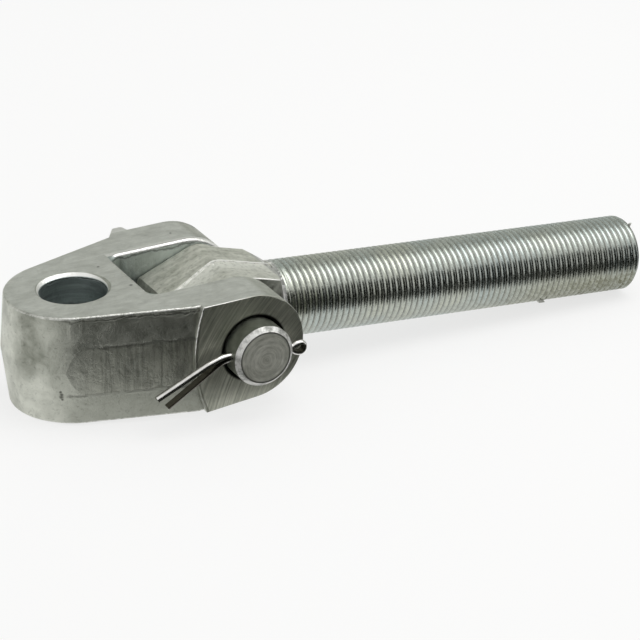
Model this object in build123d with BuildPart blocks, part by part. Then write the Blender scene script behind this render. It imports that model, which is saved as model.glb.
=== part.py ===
from build123d import *
import os
from math import atan, cos, degrees, radians, sin, tan

# Clevis rod end: a forged fork with an eye, a pin with its split pin, and a threaded eye rod.
# Millimetres, +Z up. The origin is the centre of the fork's eye bore, in the forging's parting
# plane. +X runs from the eye towards the rod, and the clevis pin lies along Y.

# Fork: the eye end
fork_height = 50.8
eye_bore = 30.0
eye_bore_chamfer = 1.6
nose_radius = 30.5            # at the upper and lower face
forging_draft = 5.5           # degrees, away from the parting plane at mid height
flank_angle = 16.6            # degrees, of each flank to the centre line
flash_trim = 1.05             # how deep the trimming cut goes into each flank, at the parting plane
edge_round = 1.2

# Fork: the cheeks
cheek_width = 92.0            # over the two milled outer faces
cheek_end_radius = 24.5
forged_skin = 0.4             # how far the forged flank stays inside the milled face
milled_start = 36.0           # where the milled face begins at mid height
milled_start_at_face = 41.0   # where it begins at the upper and lower face
cheek_round = 0.6
slot_width = 45.0
slot_start = 27.0
slot_corner = 5.0
slot_round = 2.0

# Lump of forging skin that the cutter left on one cheek, at the upper face
lump_start = 35.0
lump_length = 12.4
lump_height = 3.9
lump_ramp = 6.0               # length of its sloping side
lump_depth = 9.0
lump_draft = 11.0             # degrees
lump_inset = 5.5              # how far its root reaches inside the milled face
lump_round = 1.6

# Clevis pin
pin_offset = 64.2             # from the eye bore to the pin, along X
pin_level = 0.9               # above the parting plane
pin_diameter = 28.0
pin_clearance = 0.08          # radial
pin_mouth_chamfer = 1.4
pin_overhang = 11.5           # beyond the cheek, at the split pin's end
pin_end_chamfer = 2.0
head_diameter = 40.0
head_thickness = 7.0
head_gap = 0.3                # free play between the head and the cheek
head_chamfer = 1.2

# Split pin: a half-round wire folded into an eye and two legs
wire_radius = 1.85
split_hole_clearance = 0.2
split_from_end = 5.6          # from the pin's end face to the hole's axis
leg_gap = 0.24
eye_loop_radius = 1.7
eye_loop_reach = 5.4          # from the pin's surface to the loop's centre
leg_exit = 3.4                # straight length of a leg past the pin's surface
upper_leg_middle = (-25.0, -2.9)
upper_leg_tip = (-48.2, -15.6)
lower_leg_tip = (-43.6, -19.2)
leg_bend_radius = 14.0

# Eye rod: the rod hangs a little below the fork's level
rod_droop = 5.58              # degrees
eye_side_gap = 0.5            # between the eye and each cheek
eye_nose_radius = 26.0
eye_flat_angle = 26.8         # degrees, of the sloping flats to the rod's axis
eye_flat_distance = 19.3      # from the pin's axis
shoulder_half_height = 22.6   # where the flats meet the neck
shoulder_round = 10.0
neck_half_height = 17.3       # where the neck meets the collar
neck_side_step = 2.6          # how far each side of the neck stays inside the eye's
neck_start = 12.0             # from the pin's axis
neck_ramp = 4.0
neck_end = 29.6
neck_round = 0.8
turning_angle = 64.0          # degrees, of the turned cone that trims the neck's corners
flash_height = 0.5
flash_width = 1.3
thread_diameter = 36.0
rod_end = 223.8               # from the pin's axis
rod_end_chamfer = 2.0
eye_mouth_chamfer = 0.8

# Worked out from the sizes above
pin_radius = pin_diameter / 2
pin_hole_radius = pin_radius + pin_clearance
thread_radius = thread_diameter / 2
eye_half_width = slot_width / 2 - eye_side_gap
neck_half_width = eye_half_width - neck_side_step
half_cheek_width = cheek_width / 2
cheek_end = pin_offset + cheek_end_radius
past_cheek_end = cheek_end + cheek_end_radius
half_height = fork_height / 2
droop = radians(rod_droop)
rod_direction = Vector(cos(droop), 0, -sin(droop))
rod_up = Vector(sin(droop), 0, cos(droop))
pin_centre = Vector(pin_offset, 0, pin_level)
split_pin_y = -(half_cheek_width + pin_overhang - split_from_end)
near = 0.01                   # how closely an edge has to match to be picked

# Working planes: the side view of the fork and pin, and the side and top view of the rod
pin_side = Plane(origin=pin_centre, x_dir=(1, 0, 0), z_dir=(0, -1, 0))
rod_side = Plane(origin=pin_centre, x_dir=rod_direction, z_dir=(0, -1, 0))
rod_top = Plane(origin=pin_centre, x_dir=rod_direction, z_dir=rod_up)
rod_axis = Axis(pin_centre, rod_direction)


def fork_outline(cut=0):
    """Top view at the parting plane: a nose, two flanks that may be cut back, parallel cheeks."""
    radius = nose_radius + half_height * tan(radians(forging_draft))
    flank = radians(flank_angle)
    half_width = half_cheek_width - forged_skin
    reach = radius - cut
    run = (radius**2 - reach**2) ** 0.5
    nose_x = -reach * sin(flank) - run * cos(flank)
    nose_y = reach * cos(flank) - run * sin(flank)
    flank_end = nose_x + (half_width - nose_y) / tan(flank)
    with BuildLine() as outline:
        ThreePointArc((nose_x, nose_y), (-radius, 0), (nose_x, -nose_y))
        Polyline(
            (nose_x, -nose_y),
            (flank_end, -half_width),
            (past_cheek_end, -half_width),
            (past_cheek_end, half_width),
            (flank_end, half_width),
            (nose_x, nose_y),
        )
    return outline.line


def fork_side_profile():
    """Side view: a slab as high as the fork, rounded about the pin at its open end."""
    slab_start = -2 * nose_radius
    slab_length = milled_start_at_face - slab_start
    with BuildSketch() as profile:
        with Locations((slab_start + slab_length / 2, 0)):
            Rectangle(slab_length, fork_height)
        with Locations((pin_offset, pin_level)):
            Circle(cheek_end_radius)
        make_hull()
    return profile.sketch


def eye_profile():
    """Side view of the rod's eye and neck: a round nose, two sloping flats and a tapering neck."""
    slope = radians(eye_flat_angle)
    along = -((eye_nose_radius**2 - eye_flat_distance**2) ** 0.5)
    corner_s = along * cos(slope) - eye_flat_distance * sin(slope)
    corner_h = along * sin(slope) + eye_flat_distance * cos(slope)
    shoulder_s = (shoulder_half_height * cos(slope) - eye_flat_distance) / sin(slope)
    with BuildSketch() as profile:
        with BuildLine():
            ThreePointArc((corner_s, corner_h), (-eye_nose_radius, 0), (corner_s, -corner_h))
            Polyline(
                (corner_s, -corner_h),
                (shoulder_s, -shoulder_half_height),
                (neck_end, -neck_half_height),
                (neck_end, neck_half_height),
                (shoulder_s, shoulder_half_height),
                (corner_s, corner_h),
            )
        make_face()
        shoulders = [v for v in profile.vertices() if abs(v.X - shoulder_s) < near]
        fillet(shoulders, radius=shoulder_round)
    return profile.sketch


# Fork: the drafted forging in top view, and the milled cheek face in side view
with BuildSketch(Plane.XY) as parting_face:
    add(fork_outline())
    make_face()

with BuildSketch(Plane.XY) as trimmed_face:
    add(fork_outline(cut=flash_trim))
    make_face()

with BuildSketch(Plane.XZ) as cheek_face:
    add(fork_side_profile())
    with BuildLine():
        ThreePointArc(
            (milled_start_at_face, -half_height),
            (milled_start, 0),
            (milled_start_at_face, half_height),
        )
        Polyline(
            (milled_start_at_face, half_height),
            (past_cheek_end, half_height),
            (past_cheek_end, -half_height),
            (milled_start_at_face, -half_height),
        )
    make_face(mode=Mode.INTERSECT)


# Fork: one forging with milled cheeks, a slot, an eye bore and the pin's holes
with BuildPart() as knuckle:
    extrude(parting_face.sketch, amount=half_height, taper=forging_draft)
    extrude(parting_face.sketch, amount=-half_height, taper=forging_draft)
    face_rims = knuckle.faces().filter_by(Axis.Z).edges().filter_by(
        lambda e: e.center().X < cheek_end
    )
    fillet(face_rims, radius=edge_round)
    with BuildSketch(Plane.XZ):
        add(fork_side_profile())
    extrude(amount=cheek_width, both=True, mode=Mode.INTERSECT)

    # Trimming the flash leaves an upright band along each flank
    extrude(trimmed_face.sketch, amount=half_height, both=True, mode=Mode.INTERSECT)

    # Milled cheek faces, standing a little proud of the drafted flanks
    extrude(cheek_face.sketch, amount=half_cheek_width, both=True)
    cheek_rims = knuckle.faces().filter_by(Axis.Y).edges().filter_by(
        lambda e: abs(abs(e.center().Y) - half_cheek_width) < near
    )
    fillet(cheek_rims, radius=cheek_round)

    # Leftover lump at the upper edge of the far cheek
    lump_foot = half_cheek_width - lump_inset
    with BuildSketch(Plane.XY.offset(half_height)):
        with BuildLine():
            Polyline(
                (lump_start, lump_foot),
                (lump_start + lump_ramp, half_cheek_width + lump_height),
                (lump_start + lump_length - lump_height / 2, half_cheek_width + lump_height),
                (lump_start + lump_length, lump_foot),
                close=True,
            )
        lump_face = make_face()
        lump_tips = lump_face.vertices().group_by(Axis.Y)[-1]
        fillet(lump_tips, radius=lump_round)
    extrude(amount=-lump_depth, taper=lump_draft)

    # Slot between the cheeks, open above, below and at the end
    slot_length = past_cheek_end - slot_start
    with BuildSketch(Plane.XY):
        with Locations((slot_start + slot_length / 2, 0)):
            slot_face = Rectangle(slot_length, slot_width)
        fillet(slot_face.vertices().group_by(Axis.X)[0], radius=slot_corner)
    extrude(amount=half_height, both=True, mode=Mode.SUBTRACT)
    slot_rims = knuckle.faces().filter_by(Axis.Z).edges().filter_by(
        lambda e: slot_start - near < e.center().X < cheek_end
        and abs(e.center().Y) < slot_width / 2 + near
    )
    fillet(slot_rims, radius=slot_round)

    # Eye bore, and the pin's hole through both cheeks
    Hole(eye_bore / 2)
    with BuildSketch(pin_side):
        Circle(pin_hole_radius)
    extrude(amount=cheek_width, both=True, mode=Mode.SUBTRACT)
    bore_rims = knuckle.edges().filter_by(GeomType.CIRCLE).filter_by(
        lambda e: abs(e.radius - eye_bore / 2) < near
    )
    chamfer(bore_rims, length=eye_bore_chamfer)
    pin_rims = knuckle.edges().filter_by(GeomType.CIRCLE).filter_by(
        lambda e: abs(e.radius - pin_hole_radius) < near
    )
    chamfer(pin_rims, length=pin_mouth_chamfer)


# Clevis pin: turned, with a head behind the far cheek and a cross hole at the near end
with BuildPart() as clevis_pin:
    near_end = half_cheek_width + pin_overhang
    head_seat = half_cheek_width + head_gap
    with BuildSketch(pin_side.offset(near_end)):
        Circle(pin_radius)
    extrude(amount=-(near_end + head_seat))
    end_rim = clevis_pin.edges().filter_by(GeomType.CIRCLE).sort_by(Axis.Y)[0]
    chamfer(end_rim, length=pin_end_chamfer)
    with BuildSketch(pin_side.offset(-head_seat)):
        Circle(head_diameter / 2)
    extrude(amount=-head_thickness)
    head_rims = clevis_pin.edges().filter_by(GeomType.CIRCLE).filter_by(
        lambda e: abs(e.radius - head_diameter / 2) < near
    )
    chamfer(head_rims, length=head_chamfer)
    split_hole = Plane(
        origin=(pin_offset, split_pin_y, pin_level), x_dir=(0, 1, 0), z_dir=rod_direction
    )
    with BuildSketch(split_hole):
        Circle(wire_radius + split_hole_clearance)
    extrude(amount=pin_diameter, both=True, mode=Mode.SUBTRACT)


# Split pin: half-round wire, its flat side inwards all the way round the eye
with BuildPart() as split_pin:
    split_side = Plane(
        origin=(pin_offset, split_pin_y, pin_level), x_dir=rod_direction, z_dir=(0, -1, 0)
    )
    half_gap = leg_gap / 2
    eye_start = pin_radius + leg_gap
    eye_run = eye_loop_reach - leg_gap
    eye_turn = 2 * degrees(atan((eye_loop_radius - half_gap) / eye_run))
    eye_bend = eye_run / (2 * sin(radians(eye_turn)))
    with BuildLine(split_side) as wire_path:
        upper_leg = FilletPolyline(
            upper_leg_tip,
            upper_leg_middle,
            (-pin_radius - leg_exit, half_gap),
            (eye_start, half_gap),
            radius=leg_bend_radius,
        )
        opening = JernArc(upper_leg @ 1, upper_leg % 1, eye_bend, eye_turn)
        rounding = JernArc(opening @ 1, opening % 1, eye_bend, -eye_turn)
        loop = JernArc(rounding @ 1, rounding % 1, eye_loop_radius, -180)
        returning = JernArc(loop @ 1, loop % 1, eye_bend, -eye_turn)
        closing = JernArc(returning @ 1, returning % 1, eye_bend, eye_turn)
        FilletPolyline(
            closing @ 1,
            (-pin_radius - leg_exit, -half_gap),
            lower_leg_tip,
            radius=leg_bend_radius,
        )
    wire_start = Plane(
        origin=wire_path.line @ 0, x_dir=(0, 1, 0), z_dir=wire_path.line % 0
    )
    with BuildSketch(wire_start):
        Circle(wire_radius)
        Rectangle(
            3 * wire_radius, 2 * wire_radius, align=(Align.CENTER, Align.MAX), mode=Mode.SUBTRACT
        )
    sweep(path=wire_path.line)


# Eye rod: eye, neck, collar and shank in one forging, built along the drooping axis
with BuildPart() as eye_rod:
    with BuildSketch(rod_side):
        add(eye_profile())
    extrude(amount=eye_half_width, both=True)
    with BuildSketch(rod_top):
        with BuildLine():
            Polyline(
                (-2 * eye_nose_radius, eye_half_width),
                (neck_start - neck_ramp, eye_half_width),
                (neck_start, neck_half_width),
                (2 * neck_end, neck_half_width),
                (2 * neck_end, -neck_half_width),
                (neck_start, -neck_half_width),
                (neck_start - neck_ramp, -eye_half_width),
                (-2 * eye_nose_radius, -eye_half_width),
                close=True,
            )
        make_face()
    extrude(amount=2 * eye_nose_radius, both=True, mode=Mode.INTERSECT)
    side_rims = eye_rod.edges().filter_by(
        lambda e: abs(e.center().Y) > neck_half_width - near
        and abs((e.center() - pin_centre).dot(rod_up)) > neck_half_height - neck_round
    )
    fillet(side_rims, radius=neck_round)

    # Trimmed flash: a thin rim along the parting plane, round the eye and the neck
    with BuildSketch(rod_side):
        add(eye_profile())
        offset(amount=flash_height)
        with Locations((2 * neck_end, 0)):
            Rectangle(2 * neck_end, 4 * neck_end, mode=Mode.SUBTRACT)
    extrude(amount=flash_width / 2, both=True)

    # The lathe trims the neck's corners with a cone that ends at the collar
    cone_run = neck_end / tan(radians(turning_angle))
    with BuildSketch(rod_side):
        with BuildLine():
            Polyline(
                (neck_end, thread_radius),
                (2 * neck_end, thread_radius),
                (2 * neck_end, thread_radius + neck_end),
                (neck_end - cone_run, thread_radius + neck_end),
                close=True,
            )
        make_face()
    revolve(axis=rod_axis, mode=Mode.SUBTRACT)

    # Collar and threaded shank, as a plain cylinder of the thread's outer diameter
    collar_start = pin_centre + rod_direction * neck_end
    with BuildSketch(Plane(origin=collar_start, x_dir=(0, 1, 0), z_dir=rod_direction)):
        Circle(thread_radius)
    extrude(amount=rod_end - neck_end)
    end_rim = eye_rod.edges().filter_by(GeomType.CIRCLE).sort_by(rod_axis)[-1]
    chamfer(end_rim, length=rod_end_chamfer)

    # Hole for the clevis pin
    with BuildSketch(pin_side):
        Circle(pin_hole_radius)
    extrude(amount=slot_width, both=True, mode=Mode.SUBTRACT)
    hole_rims = eye_rod.edges().filter_by(GeomType.CIRCLE).filter_by(
        lambda e: abs(e.radius - pin_hole_radius) < near
    )
    chamfer(hole_rims, length=eye_mouth_chamfer)


os.makedirs("parts", exist_ok=True)
for name, piece in (
    ("knuckle", knuckle),
    ("clevis_pin", clevis_pin),
    ("split_pin", split_pin),
    ("eye_rod", eye_rod),
):
    piece.part.label = name
    export_step(piece.part, f"parts/{name}.step")
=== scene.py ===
# %% [markdown]
# A clevis rod end is a forged fork with an eye, joined by a pin to a threaded rod. It comes from
# a forge and a lathe, and is zinc plated, so nearly all of its look is in metal: dull forged
# skin, bright milled faces, a rolled thread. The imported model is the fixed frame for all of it.

# %% Load the frame
import math

import bmesh
import bpy
from mathutils import Matrix, Vector


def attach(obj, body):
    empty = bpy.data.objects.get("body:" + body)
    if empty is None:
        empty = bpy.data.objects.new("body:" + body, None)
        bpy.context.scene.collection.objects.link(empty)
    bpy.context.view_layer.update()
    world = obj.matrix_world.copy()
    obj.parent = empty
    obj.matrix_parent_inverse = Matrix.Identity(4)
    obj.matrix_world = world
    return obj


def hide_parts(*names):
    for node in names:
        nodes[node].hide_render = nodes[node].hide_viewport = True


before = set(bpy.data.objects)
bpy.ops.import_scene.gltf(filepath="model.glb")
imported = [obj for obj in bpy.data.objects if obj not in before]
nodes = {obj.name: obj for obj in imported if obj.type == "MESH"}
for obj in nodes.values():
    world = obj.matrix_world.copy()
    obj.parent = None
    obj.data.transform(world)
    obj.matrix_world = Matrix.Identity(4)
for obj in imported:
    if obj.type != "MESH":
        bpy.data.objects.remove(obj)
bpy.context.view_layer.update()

MM = 0.001

# %% [markdown]
# The rod hangs a little below the fork's level, so a second set of axes helps: it starts at the
# pin's centre and its X runs down the rod. Pieces of the rod are made along plain X and one
# matrix puts them in place.

# %% Sizes and the rod's own axes
FORK_HALF_HEIGHT = 25.4 * MM
PIN_CENTRE = Vector((64.2, 0, 0.9)) * MM
ROD_DROOP = math.radians(5.58)
ROD_RADIUS = 18 * MM
ROD_END = 223.8 * MM
to_row = Matrix.Translation(PIN_CENTRE) @ Matrix.Rotation(ROD_DROOP, 4, "Y")
to_rod = to_row.inverted()
print("rod end at", [round(v, 4) for v in to_row @ Vector((ROD_END, 0, 0))])

# %% [markdown]
# Every new piece is shaped as a bmesh, which is Blender's mesh with its editing tools. One function
# turns a finished shape into an object at the origin, because the frame wants the place of a piece
# to be in its mesh.

# %% Helper for new pieces


def new_piece(name, shape):
    """An object at the origin, with the bmesh's shape as its mesh."""
    mesh = bpy.data.meshes.new(name)
    shape.to_mesh(mesh)
    made = bpy.data.objects.new(name, mesh)
    bpy.context.scene.collection.objects.link(made)
    return made


# %% [markdown]
# The photograph looks down on the part from the front left through a long lens, so its lines
# stay almost parallel. Its place, its three turns and its focal length are plain numbers, found
# by laying the part's own edges and thread crests over the photograph.

# %% Camera
LENS_MM = 152.156
CAMERA_PLACE = Vector((-404.42, -990.86, 523.47)) * MM
TURNED, LOOKS_DOWN, ROLLED = (math.radians(angle) for angle in (-27.95, 25.798, -0.558))
camera_data = bpy.data.cameras.new("camera")
camera_data.lens = LENS_MM
camera_data.sensor_width = 36
camera = bpy.data.objects.new("camera", camera_data)
bpy.context.scene.collection.objects.link(camera)
camera.matrix_world = (
    Matrix.Translation(CAMERA_PLACE)
    @ Matrix.Rotation(TURNED, 4, "Z")
    @ Matrix.Rotation(math.radians(90) - LOOKS_DOWN, 4, "X")
    @ Matrix.Rotation(ROLLED, 4, "Z")
)
bpy.context.scene.camera = camera
bpy.context.scene.view_settings.view_transform = "Standard"
print("camera looks along", [round(v, 3) for v in camera.matrix_world.to_3x3() @ Vector((0, 0, -1))])

# %% [markdown]
# Every material is a small graph of nodes. One function adds any node, sets it and links it, and
# one turns a written colour into the linear numbers that the renderer works in. Sockets are named
# by number where a node has several of one name: a Map Range takes its value at 0, the range it
# comes from at 1 and 2 and the range it goes to at 3 and 4, and a colour Mix takes its share at 0
# and its two colours at 6 and 7.

# %% Helpers for materials


def linear(hex_colour):
    """An sRGB colour such as 8A8C88 as linear red, green, blue and alpha."""
    shares = [int(hex_colour[i:i + 2], 16) / 255 for i in (0, 2, 4)]
    return [s / 12.92 if s <= 0.04045 else ((s + 0.055) / 1.055) ** 2.4 for s in shares] + [1]


def add(tree, kind, inputs=None, **settings):
    """Adds one node: settings are its own fields, and inputs are values, sockets or nodes to link."""
    made = tree.nodes.new(kind)
    for name, value in settings.items():
        setattr(made, name, value)
    for key, value in (inputs or {}).items():
        if isinstance(value, bpy.types.Node):
            value = value.outputs[0]
        if isinstance(value, bpy.types.NodeSocket):
            tree.links.new(value, made.inputs[key])
        else:
            made.inputs[key].default_value = value
    return made


def new_material(name, **shader_values):
    """A node material with one Principled shader, whose constant values are set on its sockets."""
    made = bpy.data.materials.new(name)
    made.use_nodes = True
    shader = made.node_tree.nodes["Principled BSDF"]
    for key, value in shader_values.items():
        shader.inputs[key.replace("_", " ")].default_value = value
    return made, made.node_tree, shader


def coat(piece, material):
    """Gives a piece one material, in place of any that it has."""
    piece.data.materials.clear()
    piece.data.materials.append(material)


# %% [markdown]
# The stage is made of matt card. Card is rough and hardly mirrors, so one function gives each
# sheet of it the same shader and only its tone differs.

# %% Matt card


def matt_card(name, tone):
    """A material for stiff matt card of one tone."""
    made, tree, shader = new_material(name, Roughness=0.9, Specular_IOR_Level=0.1)
    shader.inputs["Base Color"].default_value = linear(tone)
    return made, tree, shader


def seen_or_mirrored(tree):
    """1 for what the camera sees, straight or in a mirror, and 0 for light on its way to the part."""
    path = add(tree, "ShaderNodeLightPath")
    seen = path.outputs["Is Camera Ray"]
    for kind in ("Is Glossy Ray", "Is Transmission Ray"):
        seen = add(tree, "ShaderNodeMath", {0: seen, 1: path.outputs[kind]}, operation="MAXIMUM")
    return seen


# %% [markdown]
# The floor is a plain pale sheet under an even white sky, as on a light table. The part rests on
# its nose and on the end of the rod, so the sheet slopes by about two degrees to meet both.

# %% Floor
FLOOR_RADIUS = 6
FLOOR_GLOW = 0.7
FLOOR_GAP = 0.05 * MM
nose_foot = Vector((-30.5 * MM, 0, -FORK_HALF_HEIGHT))
rod_foot = to_row @ Vector((ROD_END - 2 * MM, 0, -ROD_RADIUS))
floor_slope = math.atan2(nose_foot.z - rod_foot.z, rod_foot.x - nose_foot.x)
on_floor = Matrix.Translation(nose_foot - Vector((0, 0, FLOOR_GAP))) @ Matrix.Rotation(floor_slope, 4, "Y")
floor_bm = bmesh.new()
bmesh.ops.create_circle(floor_bm, cap_ends=True, segments=96, radius=FLOOR_RADIUS)
floor_bm.transform(on_floor)
floor = new_piece("floor", floor_bm)
floor_card, tree, shader = matt_card("white_card", "F4F4F2")
glow = add(tree, "ShaderNodeMath", {0: seen_or_mirrored(tree), 1: FLOOR_GLOW}, operation="MULTIPLY")
white = add(tree, "ShaderNodeEmission", {"Color": (1, 1, 1, 1), "Strength": 1.0})
lit = add(tree, "ShaderNodeMixShader", {0: glow, 1: shader, 2: white})
tree.links.new(lit.outputs[0], tree.nodes["Material Output"].inputs["Surface"])
coat(floor, floor_card)
print("floor slopes by", round(math.degrees(floor_slope), 2), "degrees")

# %% [markdown]
# A light tent is white all round. Its cloth shows as full white to the camera and in the metal,
# and lights the part a little less, so that pale metal keeps its shading.

# %% Sky and lamp
SKY_LIGHT = 0.7
world = bpy.data.worlds.new("light_tent")
bpy.context.scene.world = world
world.use_nodes = True
sky = world.node_tree
sky_level = add(sky, "ShaderNodeMapRange", {0: seen_or_mirrored(sky), 3: SKY_LIGHT, 4: 1.0})
sky.nodes["Background"].inputs["Color"].default_value = (1, 1, 1, 1)
sky.links.new(sky_level.outputs[0], sky.nodes["Background"].inputs["Strength"])

SOFTBOX_SIZE, SOFTBOX_WATTS = (0.8, 1.3), 6.4
SOFTBOX_PLACE, SOFTBOX_AIM = Vector((0.6, -0.15, 1.2)), Vector((0.1, 0, 0))
softbox_data = bpy.data.lights.new("top_softbox", "AREA")
softbox_data.shape = "RECTANGLE"
softbox_data.size, softbox_data.size_y = SOFTBOX_SIZE
softbox_data.energy = SOFTBOX_WATTS
softbox = bpy.data.objects.new("top_softbox", softbox_data)
facing_down = (SOFTBOX_PLACE - SOFTBOX_AIM).to_track_quat("Z", "Y").to_matrix().to_4x4()
softbox.matrix_world = Matrix.Translation(SOFTBOX_PLACE) @ facing_down
bpy.context.scene.collection.objects.link(softbox)
print("softbox", SOFTBOX_SIZE, "m,", SOFTBOX_WATTS, "W")

# %% [markdown]
# Bright metal is shaped by what it mirrors. A photographer stands a dark card in front of it,
# just out of the picture, so that the sides turned to the camera go dark and the rod gets its
# dark stripe. Only mirror rays meet the card, so it throws no shadow. Its near edge is drawn out
# over the floor to a far edge, which is then spun upwards, as a sheet is bent.

# %% Dark card in front
CARD_RISE = math.radians(62)
NEAR_EDGE = ((-0.03, -0.072, 0), (0.65, -0.004, 0))
FAR_EDGE = ((-0.34, -0.6, 0), (1.2, -0.6, 0))
BEND_AXIS_PLACE = (0, -0.2, 0)
card_bm = bmesh.new()
near_edge = card_bm.edges.new([card_bm.verts.new(place) for place in NEAR_EDGE])
drawn_out = bmesh.ops.extrude_edge_only(card_bm, edges=[near_edge])["geom"]
far_edge = [g for g in drawn_out if isinstance(g, bmesh.types.BMEdge)]
far_corners = sorted(far_edge[0].verts, key=lambda v: v.co.x)
for corner, place in zip(far_corners, FAR_EDGE):
    corner.co = place
bmesh.ops.spin(
    card_bm, geom=far_edge + far_corners, cent=BEND_AXIS_PLACE, axis=(-1, 0, 0),
    angle=CARD_RISE, steps=14,
)
card_bm.transform(on_floor @ Matrix.Translation((0, 0, 1 * MM)))
card = new_piece("dark_card", card_bm)
coat(card, matt_card("black_card", "20221D")[0])
card.visible_camera = card.visible_diffuse = card.visible_shadow = False
print("card box", [round(v, 3) for c in card.bound_box for v in c][:6])

# %% [markdown]
# Level faces mirror what stands behind the part, low over the floor. A tall grey card there, whose
# top leans over the part, keeps them a shade darker than the edges, which mirror the lamp. Its
# side view, a post of two lines, is spun about the part through 150 degrees.

# %% Grey card behind
POST = ((1.3, 0, -0.1), (1.3, 0, 1.1), (0.5, 0, 1.5))
CARD_SWEEP = math.radians(150)
backdrop_bm = bmesh.new()
knots = [backdrop_bm.verts.new(place) for place in POST]
post = [backdrop_bm.edges.new(pair) for pair in zip(knots, knots[1:])]
bmesh.ops.spin(backdrop_bm, geom=knots + post, cent=(0, 0, 0), axis=(0, 0, 1), angle=CARD_SWEEP, steps=30)
backdrop = new_piece("grey_card", backdrop_bm)
coat(backdrop, matt_card("grey_card", "DADCD8")[0])
backdrop.visible_camera = backdrop.visible_diffuse = backdrop.visible_shadow = False
print("grey card faces", len(backdrop.data.polygons))

# %% [markdown]
# The rod's thread is a metric thread of 36 mm with a 3 mm pitch, rolled into the shank. A thread
# is one groove that climbs the rod like a spiral stair. The outline of a single tooth is spun
# about the axis and moved on a little at each step, which winds it all the way to the end.

# %% Wind the thread
PITCH = 3 * MM
THREAD_START = 31.5 * MM
TURN_STEPS = 72
MERGE_GAP = 0.02 * MM
CUT_GAP = 0.001 * MM
# Each point is a place along one pitch and a depth below the crest, in millimetres.
TOOTH = (
    (0.0, 0.0), (0.45, 0.02), (0.74, 0.16), (1.24, 1.05), (1.5, 1.2),
    (1.76, 1.05), (2.26, 0.16), (2.55, 0.02), (3.0, 0.0),
)
teeth = math.ceil((ROD_END - THREAD_START) / PITCH) + 3
first_tooth = THREAD_START - 2 * PITCH
thread_bm = bmesh.new()
tooth = [thread_bm.verts.new((first_tooth + along * MM, 0, ROD_RADIUS - depth * MM)) for along, depth in TOOTH]
tooth_edges = [thread_bm.edges.new(pair) for pair in zip(tooth, tooth[1:])]
bmesh.ops.spin(
    thread_bm, geom=tooth + tooth_edges, cent=(0, 0, 0), axis=(1, 0, 0), dvec=(PITCH, 0, 0),
    angle=0, steps=teeth, use_duplicate=True,
)
bmesh.ops.remove_doubles(thread_bm, verts=thread_bm.verts, dist=MERGE_GAP)
bmesh.ops.spin(
    thread_bm, geom=thread_bm.verts[:] + thread_bm.edges[:], cent=(0, 0, 0), axis=(1, 0, 0),
    dvec=(PITCH / TURN_STEPS, 0, 0), angle=math.radians(360), steps=TURN_STEPS,
)
bmesh.ops.remove_doubles(thread_bm, verts=thread_bm.verts, dist=MERGE_GAP)
print("thread verts", len(thread_bm.verts), "in", teeth, "teeth")

# %% [markdown]
# A rolled thread doesn't start at full depth. Its groove grows over the first few millimetres
# after the collar, and the bar's far end was chamfered so that a nut would start on it. Both are
# made by moving points in or out from the rod's axis, before the spare thread is cut off.

# %% Run the thread in from the collar, and chamfer the far end
RUN_IN = 4.5 * MM
END_CHAMFER = 2 * MM
for v in thread_bm.verts:
    radius = math.hypot(v.co.y, v.co.z)
    grown = min(max((v.co.x - THREAD_START) / RUN_IN, 0), 1)
    target = ROD_RADIUS - (ROD_RADIUS - radius) * grown
    target = min(target, ROD_RADIUS - max(0, v.co.x - (ROD_END - END_CHAMFER)))
    v.co.y *= target / radius
    v.co.z *= target / radius
for place, outward in ((THREAD_START, -1), (ROD_END, 1)):
    bmesh.ops.bisect_plane(
        thread_bm, geom=thread_bm.verts[:] + thread_bm.edges[:] + thread_bm.faces[:], dist=CUT_GAP,
        plane_co=(place, 0, 0), plane_no=(outward, 0, 0), clear_outer=True,
    )
bmesh.ops.holes_fill(thread_bm, edges=[e for e in thread_bm.edges if e.is_boundary], sides=0)
bmesh.ops.recalc_face_normals(thread_bm, faces=thread_bm.faces)
thread_bm.transform(to_row)
thread = new_piece("rolled_thread", thread_bm)
for face in thread.data.polygons:
    face.use_smooth = len(face.vertices) == 4
print("thread faces", len(thread.data.polygons))

# %% [markdown]
# Cutting the bar and knocking it about tears up slivers of metal. Two show on the real rod, one
# under the thread and one on the end's rim. Each starts as a flat face and is drawn out in short
# steps that bend it and make it thinner, as a peeled sliver curls.

# %% Two torn slivers on the thread
# Millimetres along the rod, degrees up from its near side, then reach, width and bend.
SLIVERS = ((173.0, -58, 1.2, 2.3, 0.5), (222.6, 70, 0.4, 1.1, 0.2))
SUNK = 1.3
PULLS = 4
sliver_bm = bmesh.new()
for along, round_the_rod, reach, width, bend in SLIVERS:
    root = bmesh.ops.create_circle(sliver_bm, cap_ends=True, segments=7, radius=width * MM)["verts"]
    bmesh.ops.scale(sliver_bm, verts=root, vec=(1, 0.6, 1))
    face, pulled = root[0].link_faces[0], list(root)
    for pull in range(1, PULLS + 1):
        grown = bmesh.ops.extrude_face_region(sliver_bm, geom=[face])["geom"]
        tip = [g for g in grown if isinstance(g, bmesh.types.BMVert)]
        face = [g for g in grown if isinstance(g, bmesh.types.BMFace)][0]
        lift = (reach + SUNK) / PULLS * MM
        bmesh.ops.translate(sliver_bm, verts=tip, vec=(bend * pull / PULLS * MM, 0, lift))
        middle = sum((v.co for v in tip), Vector()) / len(tip)
        bmesh.ops.scale(sliver_bm, verts=tip, vec=(0.92, 0.9, 1), space=Matrix.Translation(-middle))
        pulled += tip
    turned = Matrix.Rotation(math.radians(90 - round_the_rod), 4, "X")
    stand = to_row @ Matrix.Translation((along * MM, 0, 0)) @ turned
    sunk = Matrix.Translation((0, 0, ROD_RADIUS - SUNK * MM))
    bmesh.ops.transform(sliver_bm, matrix=stand @ sunk, verts=pulled)
bmesh.ops.recalc_face_normals(sliver_bm, faces=sliver_bm.faces)
slivers = new_piece("torn_slivers", sliver_bm)
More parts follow.
